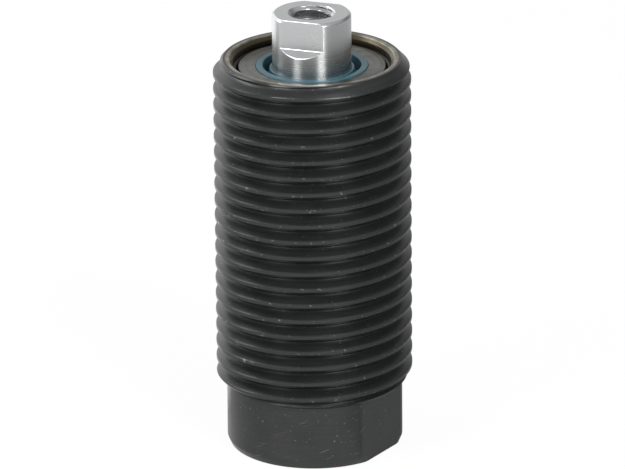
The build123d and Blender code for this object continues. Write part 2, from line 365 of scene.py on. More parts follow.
@dataclass(frozen=True)
class Thread:
    """A right-hand 60 degree screw thread cut along the bore axis, in mm."""

    pitch: float
    crest_radius: float
    depth: float
    crest_width: float
    crest_rounding: float
    root_rounding: float
    edge_rounding: float
    low: float
    high: float
    low_radius: float
    high_radius: float
    crest_height: float
    start: float = 0.0
    side: Side = Side.OUTER
    rows: int = 20

    @staticmethod
    def lengths() -> list[str]:
        """Names the fields that are lengths."""
        return [item.name for item in fields(Thread) if item.name not in ("start", "side", "rows")]

    @staticmethod
    def tree() -> Tree:
        """Builds the tree that wraps a grid round the axis along the thread's helix.

        Returns:
            The geometry node tree, with the thread's sizes as named inputs, in metres.
        """
        if "thread_skin" in bpy.data.node_groups:
            return bpy.data.node_groups["thread_skin"]
        kinds = {label(name): AMOUNT for name in [*Thread.lengths(), "start", "side"]}
        kinds |= {"Columns": COUNT, "Rows": COUNT, "Material": FINISH}
        tree, given = new_tree("thread_skin", kinds)
        size = given.outputs

        # The grid has whole pitches of rows, two more than the thread at each end
        ends = []
        for end, whole, more in (("Low", "FLOOR", -2.0), ("High", "CEIL", 2.0)):
            gap = {0: size[end], 1: size["Crest height"]}
            gap = add_node(tree, MATH, gap, operation="SUBTRACT")
            laps = add_node(tree, MATH, {0: gap, 1: size["Pitch"]}, operation="DIVIDE")
            laps = add_node(tree, MATH, {0: laps}, operation=whole)
            ends.append(add_node(tree, MATH, {0: laps, 1: more}, operation="ADD"))
        first, last = ends
        turns = add_node(tree, MATH, {0: last, 1: first}, operation="SUBTRACT")
        rows = add_node(tree, MATH, {0: turns, 1: size["Rows"], 2: 1.0}, operation="MULTIPLY_ADD")
        columns = add_node(tree, MATH, {0: size["Columns"], 1: 1.0}, operation="ADD")
        counts = {"Size X": 1.0, "Size Y": 1.0, "Vertices X": columns, "Vertices Y": rows}
        grid = add_node(tree, "GeometryNodeMeshGrid", counts)
        place = add_node(tree, "GeometryNodeInputPosition")
        place = add_node(tree, "ShaderNodeSeparateXYZ", {0: place})

        # Angle of a column, and the height of the crest there
        share = add_node(tree, MATH, {0: place.outputs["X"], 1: 0.5}, operation="ADD")
        full = add_node(tree, MATH, {0: size["Side"], 1: 2 * math.pi}, operation="MULTIPLY")
        angle = {0: share, 1: full, 2: size["Start"]}
        angle = add_node(tree, MATH, angle, operation="MULTIPLY_ADD")
        turned = add_node(tree, MATH, {0: angle, 1: 2 * math.pi}, operation="DIVIDE")
        rise = {0: turned, 1: size["Pitch"], 2: size["Crest height"]}
        crest = add_node(tree, MATH, rise, operation="MULTIPLY_ADD")

        # Rows stand closer at the crest than at the root
        level = add_node(tree, MATH, {0: place.outputs["Y"], 1: 0.5}, operation="ADD")
        lap = add_node(tree, MATH, {0: level, 1: turns, 2: first}, operation="MULTIPLY_ADD")
        whole = add_node(tree, MATH, {0: lap, 1: 0.5}, operation="ADD")
        whole = add_node(tree, MATH, {0: whole}, operation="FLOOR")
        part = add_node(tree, MATH, {0: lap, 1: whole}, operation="SUBTRACT")
        square = add_node(tree, MATH, {0: part, 1: part}, operation="MULTIPLY")
        spread = add_node(tree, MATH, {0: square, 1: 1.6, 2: 0.6}, operation="MULTIPLY_ADD")
        step = add_node(tree, MATH, {0: part, 1: spread, 2: whole}, operation="MULTIPLY_ADD")
        free = add_node(tree, MATH, {0: step, 1: size["Pitch"], 2: crest}, operation="MULTIPLY_ADD")
        ends = {"Value": free, "Min": size["Low"], "Max": size["High"]}
        height = add_node(tree, "ShaderNodeClamp", ends)

        # Depth below the crest from the distance to the nearest crest, with both corners rounded
        above = add_node(tree, MATH, {0: height, 1: crest}, operation="SUBTRACT")
        pitches = add_node(tree, MATH, {0: above, 1: size["Pitch"]}, operation="DIVIDE")
        nearest = add_node(tree, MATH, {0: pitches, 1: 0.5}, operation="PINGPONG")
        off = add_node(tree, MATH, {0: nearest, 1: size["Pitch"]}, operation="MULTIPLY")
        half = add_node(tree, MATH, {0: size["Crest width"], 1: 0.5}, operation="MULTIPLY")
        flank = add_node(tree, MATH, {0: off, 1: half}, operation="SUBTRACT")
        flank = add_node(tree, MATH, {0: flank, 1: math.sqrt(3)}, operation="MULTIPLY")
        crown = {0: flank, 1: 0.0, 2: size["Crest rounding"]}
        flank = add_node(tree, MATH, crown, operation="SMOOTH_MAX")
        floor = {0: flank, 1: size["Depth"], 2: size["Root rounding"]}
        flank = add_node(tree, MATH, floor, operation="SMOOTH_MIN")
        cut = add_node(tree, MATH, {0: size["Crest radius"], 1: size["Side"]}, operation="MULTIPLY")
        cut = add_node(tree, MATH, {0: cut, 1: flank}, operation="SUBTRACT")

        # Cones that trim both ends, down to the rings where the thread meets the rest
        for end, order in (("Low", (height, size["Low"])), ("High", (size["High"], height))):
            away = add_node(tree, MATH, {0: order[0], 1: order[1]}, operation="SUBTRACT")
            rim = {0: size[f"{end} radius"], 1: size["Side"]}
            rim = add_node(tree, MATH, rim, operation="MULTIPLY")
            cone = add_node(tree, MATH, {0: away, 1: rim}, operation="ADD")
            edge = {0: cut, 1: cone, 2: size["Edge rounding"]}
            trimmed = add_node(tree, MATH, edge, operation="SMOOTH_MIN")
            at_end = add_node(tree, MATH, {0: away, 1: TINY}, operation="LESS_THAN")
            cut = add_node(tree, MIX, {"Factor": at_end, "A": trimmed, "B": rim}, data_type="FLOAT")
        radius = add_node(tree, MATH, {0: cut, 1: size["Side"]}, operation="MULTIPLY")

        wrapped = wrap(tree, grid, radius, angle, height)
        welded = {"Geometry": wrapped, "Distance": WELD}
        welded = add_node(tree, "GeometryNodeMergeByDistance", welded)
        return close_tree(tree, welded, size["Material"])

    def skin(self, name: str, columns: int, material: Material) -> Mesh:
        """Cuts the thread.

        Args:
            name: the mesh's name.
            columns: how many facets go round.
            material: the finish of the piece it belongs to.

        Returns:
            The thread's skin, open at both ends.
        """
        values = {label(length): getattr(self, length) * MM for length in self.lengths()}
        values |= {"Start": self.start, "Side": self.side.value}
        values |= {"Columns": columns, "Rows": self.rows, "Material": material}
        return grow(self.tree(), name, values)


@dataclass(frozen=True)
class Coil:
    """Round wire wound about the bore axis, its end turns closed, in mm."""

    radius: float
    wire_radius: float
    turns: float
    start: float
    bottom: float
    floor: float
    ceiling: float
    closed_turns: float = 0.0
    closed_pitch: float = 0.0
    active_pitch: float = 0.0
    steps: int = 96
    sides: int = 20

    @staticmethod
    def counts() -> list[str]:
        """Names the fields that are turns or angles."""
        return ["turns", "start", "closed_turns"]

    @staticmethod
    def lengths() -> list[str]:
        """Names the fields that are lengths."""
        others = [*Coil.counts(), "steps", "sides"]
        return [item.name for item in fields(Coil) if item.name not in others]

    @staticmethod
    def tree() -> Tree:
        """Builds the tree that winds a wire and grinds its ends flat.

        Returns:
            The geometry node tree, with the coil's sizes as named inputs, in metres.
        """
        if "wound_wire" in bpy.data.node_groups:
            return bpy.data.node_groups["wound_wire"]
        kinds = {label(name): AMOUNT for name in Coil.lengths() + Coil.counts()}
        kinds |= {"Points": COUNT, "Sides": COUNT, "Material": FINISH}
        tree, given = new_tree("wound_wire", kinds)
        size = given.outputs
        line = add_node(tree, "GeometryNodeCurvePrimitiveLine")
        line = add_node(tree, "GeometryNodeResampleCurve", {"Curve": line, "Count": size["Points"]})

        # Turns wound so far, and how many of them at each pitch
        share = add_node(tree, "GeometryNodeSplineParameter")
        wound = add_node(tree, MATH, {0: share, 1: size["Turns"]}, operation="MULTIPLY")
        first = add_node(tree, MATH, {0: wound, 1: size["Closed turns"]}, operation="MINIMUM")
        last = {0: size["Turns"], 1: size["Closed turns"]}
        last = add_node(tree, MATH, last, operation="SUBTRACT")
        last = add_node(tree, MATH, {0: wound, 1: last}, operation="SUBTRACT")
        last = add_node(tree, MATH, {0: last, 1: 0.0}, operation="MAXIMUM")
        closed = add_node(tree, MATH, {0: first, 1: last}, operation="ADD")
        active = add_node(tree, MATH, {0: wound, 1: closed}, operation="SUBTRACT")
        height = {0: closed, 1: size["Closed pitch"], 2: size["Bottom"]}
        height = add_node(tree, MATH, height, operation="MULTIPLY_ADD")
        height = {0: active, 1: size["Active pitch"], 2: height}
        height = add_node(tree, MATH, height, operation="MULTIPLY_ADD")
        angle = {0: wound, 1: 2 * math.pi, 2: size["Start"]}
        angle = add_node(tree, MATH, angle, operation="MULTIPLY_ADD")
        line = wrap(tree, line, size["Radius"], angle, height)
        round_section = {"Resolution": size["Sides"], "Radius": size["Wire radius"]}
        ring = add_node(tree, "GeometryNodeCurvePrimitiveCircle", round_section)
        swept = {"Curve": line, "Profile Curve": ring, "Fill Caps": True}
        wire = add_node(tree, "GeometryNodeCurveToMesh", swept)
        place = add_node(tree, "GeometryNodeInputPosition")
        place = add_node(tree, "ShaderNodeSeparateXYZ", {0: place})
        ends = {"Value": place.outputs["Z"], "Min": size["Floor"], "Max": size["Ceiling"]}
        ground = add_node(tree, "ShaderNodeClamp", ends)
        spot = {"X": place.outputs["X"], "Y": place.outputs["Y"], "Z": ground}
        spot = add_node(tree, "ShaderNodeCombineXYZ", spot)
        wire = add_node(tree, "GeometryNodeSetPosition", {"Geometry": wire, "Position": spot})
        return close_tree(tree, wire, size["Material"])

    def wind(self, name: str, material: Material) -> Mesh:
        """Winds the wire.

        Args:
            name: the mesh's name.
            material: the wire's finish.

        Returns:
            The closed wire.
        """
        values = {label(length): getattr(self, length) * MM for length in self.lengths()}
        values |= {label(count): getattr(self, count) for count in self.counts()}
        points = math.ceil(self.turns * self.steps) + 1
        values |= {"Points": points, "Sides": self.sides, "Material": material}
        mesh = grow(self.tree(), name, values)
        log.info("%s: %d faces", name, len(mesh.polygons))
        return mesh


@dataclass(frozen=True)
class Beads:
    """Small metal beads sintered into a round face that looks down, in mm."""

    radius: float
    height: float
    bead: float
    spread: float
    seed: int = 7

    def tree(self) -> Tree:
        """Builds the tree that scatters the beads.

        Returns:
            The geometry node tree, with the sizes as named inputs, in metres.
        """
        sizes = ("Radius", "Height", "Bead", "Gap", "Density", "Spread")
        kinds = dict.fromkeys(sizes, AMOUNT)
        kinds |= {"Seed": COUNT, "Material": FINISH}
        tree, given = new_tree("sintered_beads", kinds)
        size = given.outputs
        edge = {"Vertices": 48, "Radius": size["Radius"]}
        face = add_node(tree, "GeometryNodeMeshCircle", edge, fill_type="NGON")
        rule = {"Distance Min": size["Gap"], "Density Max": size["Density"], "Seed": size["Seed"]}
        scatter = "GeometryNodeDistributePointsOnFaces"
        points = add_node(tree, scatter, {"Mesh": face, **rule}, distribute_method="POISSON")
        bead = {"Radius": size["Bead"], "Subdivisions": 2}
        bead = add_node(tree, "GeometryNodeMeshIcoSphere", bead)
        small = add_node(tree, MATH, {0: 1.0, 1: size["Spread"]}, operation="SUBTRACT")
        share = {2: small, 3: 1.0, "Seed": size["Seed"]}
        scale = add_node(tree, "FunctionNodeRandomValue", share, data_type="FLOAT").outputs[1]
        laid = {"Points": points, "Instance": bead, "Scale": scale}
        laid = add_node(tree, "GeometryNodeInstanceOnPoints", laid)
        lift = add_node(tree, "ShaderNodeCombineXYZ", {"Z": size["Height"]})
        laid = add_node(tree, "GeometryNodeTransform", {"Geometry": laid, "Translation": lift})
        return close_tree(tree, laid, size["Material"])

    def scatter(self, name: str, material: Material) -> Mesh:
        """Lays the beads.

        Args:
            name: the mesh's name.
            material: their finish.

        Returns:
            All beads as one mesh.
        """
        gap = self.bead * 1.5 * MM
        values = {
            "Radius": (self.radius - self.bead) * MM,
            "Height": self.height * MM,
            "Bead": self.bead * MM,
            "Gap": gap,
            "Density": 4.0 / gap**2,
            "Spread": self.spread,
            "Seed": self.seed,
            "Material": material,
        }
        mesh = grow(self.tree(), name, values)
        log.info("%s: %d faces", name, len(mesh.polygons))
        return mesh


@dataclass(frozen=True)
class Place:
    """Where a point of a turned piece lies: all sockets of one material tree, in metres."""

    spot: Socket
    radius: Socket
    height: Socket
    turn: Socket
    outward: Socket


@dataclass(frozen=True)
class Finish:
    """What all finishes share."""

    name: str

    def blank(self) -> tuple[Material, Tree, Node]:
        """Starts a material.

        Returns:
            The material, its tree and its shader node.
        """
        material = bpy.data.materials.new(self.name)
        material.use_nodes = True
        tree = material.node_tree
        tree.nodes.clear()
        shader = add_node(tree, "ShaderNodeBsdfPrincipled")
        add_node(tree, "ShaderNodeOutputMaterial", {"Surface": shader})
        return material, tree, shader

    def place(self, tree: Tree) -> Place:
        """Measures the shaded point from the bore axis.

        Args:
            tree: the material's tree.

        Returns:
            The measures.
        """
        spot = add_node(tree, "ShaderNodeTexCoord").outputs["Object"]
        axes = add_node(tree, "ShaderNodeSeparateXYZ", {0: spot}).outputs
        flat = add_node(tree, VECTOR, {0: spot, 1: (1.0, 1.0, 0.0)}, operation="MULTIPLY")
        radius = add_node(tree, VECTOR, {0: flat}, operation="LENGTH").outputs["Value"]
        turn = add_node(tree, MATH, {0: axes["Y"], 1: axes["X"]}, operation="ARCTAN2")
        outward = add_node(tree, VECTOR, {0: flat}, operation="NORMALIZE")
        return Place(spot, radius, axes["Z"], turn.outputs[0], outward.outputs[0])


@dataclass(frozen=True)
class Mottled(Finish):
    """A finish that wanders between two colours and two roughnesses."""

    dark: str
    light: str
    roughness: Point

    def mottle(self, tree: Tree, spot: Socket, fine: Socket, blotch: float, detail: float) -> Look:
        """Mixes colour and roughness by a fine pattern and by wider blotches.

        Args:
            tree: the material's tree.
            spot: the shaded point.
            fine: the fine pattern, 0 to 1.
            blotch: how wide the blotches are, in mm.
            detail: how finely their edges break up.

        Returns:
            The colour and the roughness.
        """
        wide = add_node(tree, NOISE, {"Vector": spot, "Scale": 1 / (blotch * MM), "Detail": detail})
        mixed = add_node(tree, MATH, {0: fine, 1: wide}, operation="ADD")
        mixed = add_node(tree, RANGE, {"Value": mixed, "From Min": 0.7, "From Max": 1.3})
        ends = {"Factor": mixed, 6: linear(self.dark), 7: linear(self.light)}
        tone = add_node(tree, MIX, ends, data_type="RGBA").outputs[2]
        ends = dict(zip(("To Min", "To Max"), self.roughness))
        return tone, add_node(tree, RANGE, {"Value": mixed, **ends}).outputs[0]


@dataclass(frozen=True)
class TurnedMetal(Mottled):
    """Metal from a lathe or a grinder: fine rings draw each highlight out across them. Sizes in mm.

    Where milled is set, no rings run nearer the axis than that radius. The tangent leans towards
    the axis by lean, so that the rings of a face spread its highlight too.
    """

    blotch: float = 4.0
    ring_width: float = 0.2
    ring_depth: float = 0.0008
    anisotropic: float = 0.8
    milled: float = 0.0
    metallic: float = 1.0
    lean: float = 0.35
    drift: float = 0.02

    def make(self) -> Material:
        """Builds the material.

        Returns:
            The material.
        """
        material, tree, shader = self.blank()
        place = self.place(tree)

        # The grain runs along the axis on walls and to the axis on faces; milled flats have none
        inward = add_node(tree, VECTOR, {0: place.outward, "Scale": -self.lean}, operation="SCALE")
        across = add_node(tree, VECTOR, {0: inward, 1: (0.0, 0.0, 1.0)}, operation="ADD")
        spaces = {"vector_type": "VECTOR", "convert_from": "OBJECT", "convert_to": "WORLD"}
        across = add_node(tree, "ShaderNodeVectorTransform", {0: across}, **spaces)
        drawn = self.anisotropic
        if self.milled:
            edge = {"From Min": (self.milled - 0.01) * MM, "From Max": self.milled * MM}
            edge |= {"Value": place.radius, "To Max": self.anisotropic}
            drawn = add_node(tree, RANGE, edge)

        # Rings follow the radius and the height, and drift slowly round the piece
        axes = add_node(tree, "ShaderNodeSeparateXYZ", {0: place.spot}).outputs
        drift = add_node(tree, MATH, {0: axes["X"], 1: self.drift}, operation="MULTIPLY")
        along = {"X": place.radius, "Y": place.height, "Z": drift}
        along = add_node(tree, "ShaderNodeCombineXYZ", along)
        width = {"Vector": along, "Scale": 1 / (self.ring_width * MM)}
        rings = add_node(tree, NOISE, {**width, "Detail": 2.0, "Roughness": 0.6}).outputs["Fac"]
        depth = {"Height": rings, "Strength": 1.0, "Distance": self.ring_depth * MM}
        look = self.mottle(tree, place.spot, rings, self.blotch, 5.0)
        tone, gloss = self.wear(tree, place, look)
        feed(tree, shader, {"Base Color": tone, "Roughness": gloss, "Metallic": self.metallic})
        bump = add_node(tree, "ShaderNodeBump", depth)
        feed(tree, shader, {"Anisotropic": drawn, "Tangent": across, "Normal": bump})
        return material

    def wear(self, tree: Tree, place: Place, look: Look) -> Look:
        """Adds what use leaves on the surface; bare metal shows nothing more."""
        return look


@dataclass(frozen=True)
class BlackOxide(TurnedMetal):
    """Black oxide on turned steel: a thin dark skin that rubs pale on edges. Sizes in mm."""

    worn: str = "9a968a"
    wall: str = "4f4a3b"
    nick: str = "8e8e8a"
    crest: str = "3c3e3e"
    crest_radius: float = 12.4
    land_height: float = 51.38
    land_radius: float = 10.95
    mouth_radius: float = 10.62
    mouth_low: float = 50.0
    base_height: float = 8.2
    wander: float = 0.06
    wander_size: float = 1.111
    patch_size: float = 2.381
    nick_size: float = 0.769
    dust_size: float = 0.333
    scratch_length: float = 3.8
    scratch_width: float = 0.19
    scratch_slant: float = math.radians(20.0)
    scratch_group: float = 7.692
    crest_rub: float = 0.75
    rubbed_roughness: float = 0.34

    def band(self, tree: Tree, value: Socket, low: float, high: float) -> Socket:
        """Rises from 0 to 1 between two sizes in mm."""
        ends = {"Value": value, "From Min": low * MM, "From Max": high * MM}
        return add_node(tree, RANGE, ends, interpolation_type="SMOOTHSTEP").outputs[0]

    def specks(self, tree: Tree, spot: Socket, size: float, detail: float, **ends: float) -> Socket:
        """Cuts a noise down to what lies between two levels.

        Args:
            tree: the material's tree.
            spot: where the noise is read.
            size: how wide its specks are, in mm.
            detail: how finely their edges break up.
            **ends: the levels, named low and high, and most, the value that they rise to.

        Returns:
            The specks, 0 between them.
        """
        noise = add_node(tree, NOISE, {"Vector": spot, "Scale": 1 / (size * MM), "Detail": detail})
        ends = {"From Min": ends["low"], "From Max": ends["high"], "To Max": ends["most"]}
        return add_node(tree, RANGE, {"Value": noise, **ends}).outputs[0]

    def scratches(self, tree: Tree, place: Place) -> Socket:
        """Draws slanted scratches on the base, in a few groups.

        Args:
            tree: the material's tree.
            place: where the shaded point lies.

        Returns:
            How deep a scratch is, 0 to 1.
        """
        arc = add_node(tree, MATH, {0: place.turn, 1: place.radius}, operation="MULTIPLY")
        drawn = add_node(tree, "ShaderNodeCombineXYZ", {"X": arc, "Y": place.height}).outputs[0]
        size = (self.scratch_length * MM, self.scratch_width * MM, 1.0)
        slant = {"Vector": drawn, "Rotation": (0.0, 0.0, self.scratch_slant), "Scale": size}
        slant = add_node(tree, "ShaderNodeMapping", slant, vector_type="TEXTURE")
        lines = self.specks(tree, slant.outputs[0], 1 / MM, 1.0, low=0.70, high=0.76, most=1.0)
        group = self.specks(tree, drawn, self.scratch_group, 0.0, low=0.54, high=0.62, most=0.5)
        lines = add_node(tree, MATH, {0: lines, 1: group}, operation="MULTIPLY")
        low = self.band(tree, place.height, self.base_height, self.base_height - 0.2)
        return add_node(tree, MATH, {0: lines, 1: low}, operation="MULTIPLY").outputs[0]

    def wear(self, tree: Tree, place: Place, look: Look) -> Look:
        """Rubs the rim and the mouth bare, nicks the crests, scratches the base and lays dust.

        Args:
            tree: the material's tree.
            place: where the shaded point lies.
            look: the colour and the roughness so far.

        Returns:
            The worn colour and roughness.
        """
        tone, gloss = look

        # Edges of the rubbed zones wander a little
        wander = {"Vector": place.spot, "Scale": 1 / (self.wander_size * MM), "Detail": 3.0}
        sway = self.wander * MM
        shift = {"Value": add_node(tree, NOISE, wander), "To Min": -sway, "To Max": sway}
        shift = add_node(tree, RANGE, shift)
        high = add_node(tree, MATH, {0: place.height, 1: shift}, operation="ADD").outputs[0]
        wide = add_node(tree, MATH, {0: place.radius, 1: shift}, operation="ADD").outputs[0]
        top = self.band(tree, high, self.land_height - self.wander, self.land_height + self.wander)
        near = self.band(tree, wide, self.land_radius + 0.1, self.land_radius - 0.1)
        land = add_node(tree, MATH, {0: top, 1: near}, operation="MULTIPLY")
        within = self.band(tree, place.radius, self.mouth_radius + 0.05, self.mouth_radius - 0.05)
        above = self.band(tree, high, self.mouth_low, self.mouth_low + 0.2)
        inside = add_node(tree, MATH, {0: within, 1: above}, operation="MULTIPLY")
        both = add_node(tree, MATH, {0: land, 1: inside}, operation="MAXIMUM")

        # Crests lose their skin in small nicks, and dust settles everywhere
        crest = self.band(tree, wide, self.crest_radius, self.crest_radius + 0.08)
        rub = add_node(tree, MATH, {0: crest, 1: self.crest_rub}, operation="MULTIPLY")
        chips = self.specks(tree, place.spot, self.nick_size, 2.0, low=0.66, high=0.74, most=0.7)
        chips = add_node(tree, MATH, {0: chips, 1: crest}, operation="MULTIPLY")
        dust = self.specks(tree, place.spot, self.dust_size, 1.0, low=0.70, high=0.80, most=0.5)
        marks = add_node(tree, MATH, {0: chips, 1: dust}, operation="MAXIMUM")
        lines = self.scratches(tree, place)
        marks = add_node(tree, MATH, {0: marks, 1: lines}, operation="MAXIMUM")

        # The land is rubbed in patches, and the mouth below it keeps a brown film
        patch = {"Vector": place.spot, "Scale": 1 / (self.patch_size * MM), "Detail": 4.0}
        patch = {"Value": add_node(tree, NOISE, patch), "From Min": 0.4, "From Max": 0.6}
        patch = add_node(tree, RANGE, {**patch, "To Min": 0.35})
        bare = add_node(tree, MATH, {0: land, 1: patch}, operation="MULTIPLY")
        rubbed = {"Factor": bare, 6: linear(self.wall), 7: linear(self.worn)}
        rubbed = add_node(tree, MIX, rubbed, data_type="RGBA").outputs[2]
        crest, nick = linear(self.crest), linear(self.nick)
        for factor, colour in ((rub, crest), (both, rubbed), (marks, nick)):
            mixed = {"Factor": factor, 6: tone, 7: colour}
            tone = add_node(tree, MIX, mixed, data_type="RGBA").outputs[2]
        dulled = {"Factor": both, 2: gloss, 3: self.rubbed_roughness}
        return tone, add_node(tree, MIX, dulled, data_type="FLOAT").outputs[0]


@dataclass(frozen=True)
class Grained(Mottled):
    """A moulded, pressed or sintered stuff with an even grain and no direction. Sizes in mm."""

    grain: float
    depth: float
    ior: float = 1.5
    metallic: float = 0.0
    blotch: float = 3.0

    def make(self) -> Material:
        """Builds the material.

        Returns:
            The material.
        """
        material, tree, shader = self.blank()
        spot = add_node(tree, "ShaderNodeTexCoord").outputs["Object"]
        grain = {"Vector": spot, "Scale": 1 / (self.grain * MM), "Detail": 2.0}
        grain = add_node(tree, NOISE, grain).outputs["Fac"]
        bump = add_node(tree, "ShaderNodeBump", {"Height": grain, "Distance": self.depth * MM})
        tone, gloss = self.mottle(tree, spot, grain, self.blotch, 4.0)
        feed(tree, shader, {"Base Color": tone, "Roughness": gloss, "Normal": bump})
        feed(tree, shader, {"Metallic": self.metallic, "IOR": self.ior})
        return material


@dataclass
class CylinderBody:
    """The black steel body: threaded barrel, flatted base, bore, mouth and oil port, in mm."""

    facets: int = 184
    base_radius: float = 11.2
    base_height: float = 8.3
    base_flat: float = 10.1
    thread_radius: float = 12.5
    height: float = 51.5
    land_outer: float = 11.25
    crest_at_left: float = 49.653
    left: float = math.radians(-147.0)

    def barrel(self) -> Thread:
        """Says how the 1 inch by 12 per inch thread on the barrel runs.

        Returns:
            The thread.
        """
        pitch = INCH / 12
        return Thread(
            pitch=pitch,
            crest_radius=self.thread_radius,
            depth=self.thread_radius - self.base_radius - 0.06,
            crest_width=0.46,
            crest_rounding=0.10,
            root_rounding=0.25,
            edge_rounding=0.12,
            low=self.base_height,
            high=self.height,
            low_radius=self.base_radius,
            high_radius=self.land_outer,
            crest_height=self.crest_at_left - pitch * self.left / (2 * math.pi),
        )

    def port(self) -> Thread:
        """Says how the 1/8 inch pipe thread in the oil port runs.

        Returns:
            The thread.
        """
        return Thread(
            pitch=INCH / 27,
            crest_radius=4.3,
            depth=0.55,
            crest_width=0.12,
            crest_rounding=0.08,
            root_rounding=0.1,
            edge_rounding=0.05,
            low=0.0,
            high=7.0,
            low_radius=5.25,
            high_radius=4.3,
            crest_height=3.0,
            side=Side.INNER,
            rows=10,
        )

    def build(self, material: Material) -> Piece:
        """Makes the body.

        Args:
            material: the body's finish.

        Returns:
            The body's object.
        """
        mouth = [
            (self.land_outer, self.height, 0), (10.5, 51.5, 0.12), (10.0, 51.0, 0.12),
            (10.0, 50.4, 0.05), (10.35, 50.25, 0.1), (10.53, 49.8, 0.3), (10.35, 49.35, 0.1),
            (10.0, 49.2, 0.05), (10.0, 44.5, 0.05), (9.05, 44.5, 0.05), (8.75, 44.2, 0.05),
            (8.75, 11.0, 0.1), (1.5, 11.0, 0.05), (1.5, 9.0, 0), (3.0, 9.0, 0), (3.0, 7.0, 0),
            (4.3, 7.0, 0),
        ]
        foot = [
            (5.25, 0, 0), (10.8, 0, 0.2), (11.2, 0.9, 0.5), (self.base_radius, self.base_height, 0),
        ]
        angles = columns(self.facets)
        below = smooth(foot, half_width=self.base_flat)
        skins = [
            lathe(smooth(mouth), angles),
            lathe([*below, (self.base_radius, self.base_height, ROUND)], angles),
        ]
        threads = [
            self.barrel().skin("barrel", self.facets, material),
            self.port().skin("port", self.facets, material),
        ]
        mesh = join("cylinder_body_threaded", skins, threads)
        return finish_piece(mesh, material, "cylinder", "cylinder_body")

    def build_filter(self, material: Material) -> Piece:
        """Lays the filter's beads on the face that the oil port shows.

        Args:
            material: the filter's finish.

        Returns:
            The beads' object.
        """
        dress("port_filter", material)
        beads = Beads(radius=2.75, height=7.42, bead=0.16, spread=0.35)
        mesh = beads.scatter("filter_beads", material)
        return finish_piece(mesh, material, "cylinder", crease=60.0)


@dataclass
class Plunger:
    """The steel plunger: piston, rod and the flatted, tapped tip. Sizes in mm."""

    facets: int = 144
    turn: float = math.radians(-90.0 + 14.0)
    rod_radius: float = 5.0
    flat: float = 4.1
    flat_bottom: float = 53.8
    tip: float = 57.5
    tip_edge: float = 0.3
    broken_edge: float = 0.06
    shank_top: float = 52.0
    thread_bottom: float = 46.0
    hole_radius: float = 2.55
    hole_mouth: float = 3.0

    def build(self, material: Material) -> Piece:
        """Makes the plunger.

        Args:
            material: its finish.

        Returns:
            The plunger's object.
        """
        shank = [
            (0, 11.05, 0), (5.5, 11.05, 0.1), (5.5, 12.0, 0.1), (8.3, 12.0, 0.05),
            (8.7, 12.4, 0.05), (8.7, 13.2, 0.05), (6.25, 13.2, 0.1), (6.25, 16.7, 0.1),
            (8.7, 16.7, 0.05), (8.7, 17.7, 0.05), (7.95, 17.7, 0.05), (7.95, 19.7, 0.05),
            (8.7, 19.7, 0.05), (8.7, 20.5, 0.15), (self.rod_radius, 20.5, 0.4),
            (self.rod_radius, self.shank_top, 0),
        ]
        hole = [
            (self.hole_radius, self.thread_bottom, 0), (self.hole_radius, 45.5, 0), (0, 44.0, 0),
        ]
        angles = columns(self.facets, self.turn)
        skins = [lathe(smooth(shank), angles), self.tip_skin(angles), lathe(smooth(hole), angles)]
        thread = Thread(
            pitch=INCH / 20,
            crest_radius=self.hole_radius,
            depth=0.32,
            crest_width=0.2,
            crest_rounding=0.1,
            root_rounding=0.1,
            edge_rounding=0.05,
            low=self.thread_bottom,
            high=self.tip,
            low_radius=self.hole_radius,
            high_radius=self.hole_mouth,
            crest_height=56.5,
            start=self.turn,
            side=Side.INNER,
            rows=16,
        )
        mesh = join("plunger_turned", skins, [thread.skin("tip_thread", self.facets, material)])
        return finish_piece(mesh, material, "plunger", "plunger", crease=12.0)

    def tip_skin(self, angles: list[float]) -> Skin:
        """Makes the tip's outside, with its flats, their sloped ends and their broken edges.

        Args:
            angles: where the columns stand, in radians.

        Returns:
            The skin between the rod and the mouth of the hole, in metres.
        """
        rings = [
            (self.rod_radius, self.shank_top, ROUND),
            (self.rod_radius, self.flat_bottom, ROUND),
            (self.rod_radius, self.flat_bottom, self.flat),
            (self.rod_radius, self.tip - self.tip_edge, self.flat),
            (self.rod_radius - self.tip_edge, self.tip, self.flat - 0.02),
            (self.hole_mouth, self.tip, ROUND),
        ]
        skin = lathe(rings, angles, self.turn)
        skin.verts.ensure_lookup_table()
        normal = Vector((math.cos(self.turn), math.sin(self.turn), 0))
        for vert in skin.verts[len(angles) : 2 * len(angles)]:
            vert.co.z -= max(0.0, abs(vert.co.dot(normal)) - self.flat * MM)
        bmesh.ops.remove_doubles(skin, verts=skin.verts, dist=WELD)
        bmesh.ops.dissolve_degenerate(skin, dist=TINY, edges=skin.edges)
        sharp = [
            edge
            for edge in skin.edges
            if len(edge.link_faces) == 2 and edge.calc_face_angle(0.0) > math.radians(12.0)
        ]
        width = {"offset": self.broken_edge * MM, "segments": 2, "profile": 0.5}
        bmesh.ops.bevel(skin, geom=sharp, **width, affect="EDGES", clamp_overlap=True)
        return skin


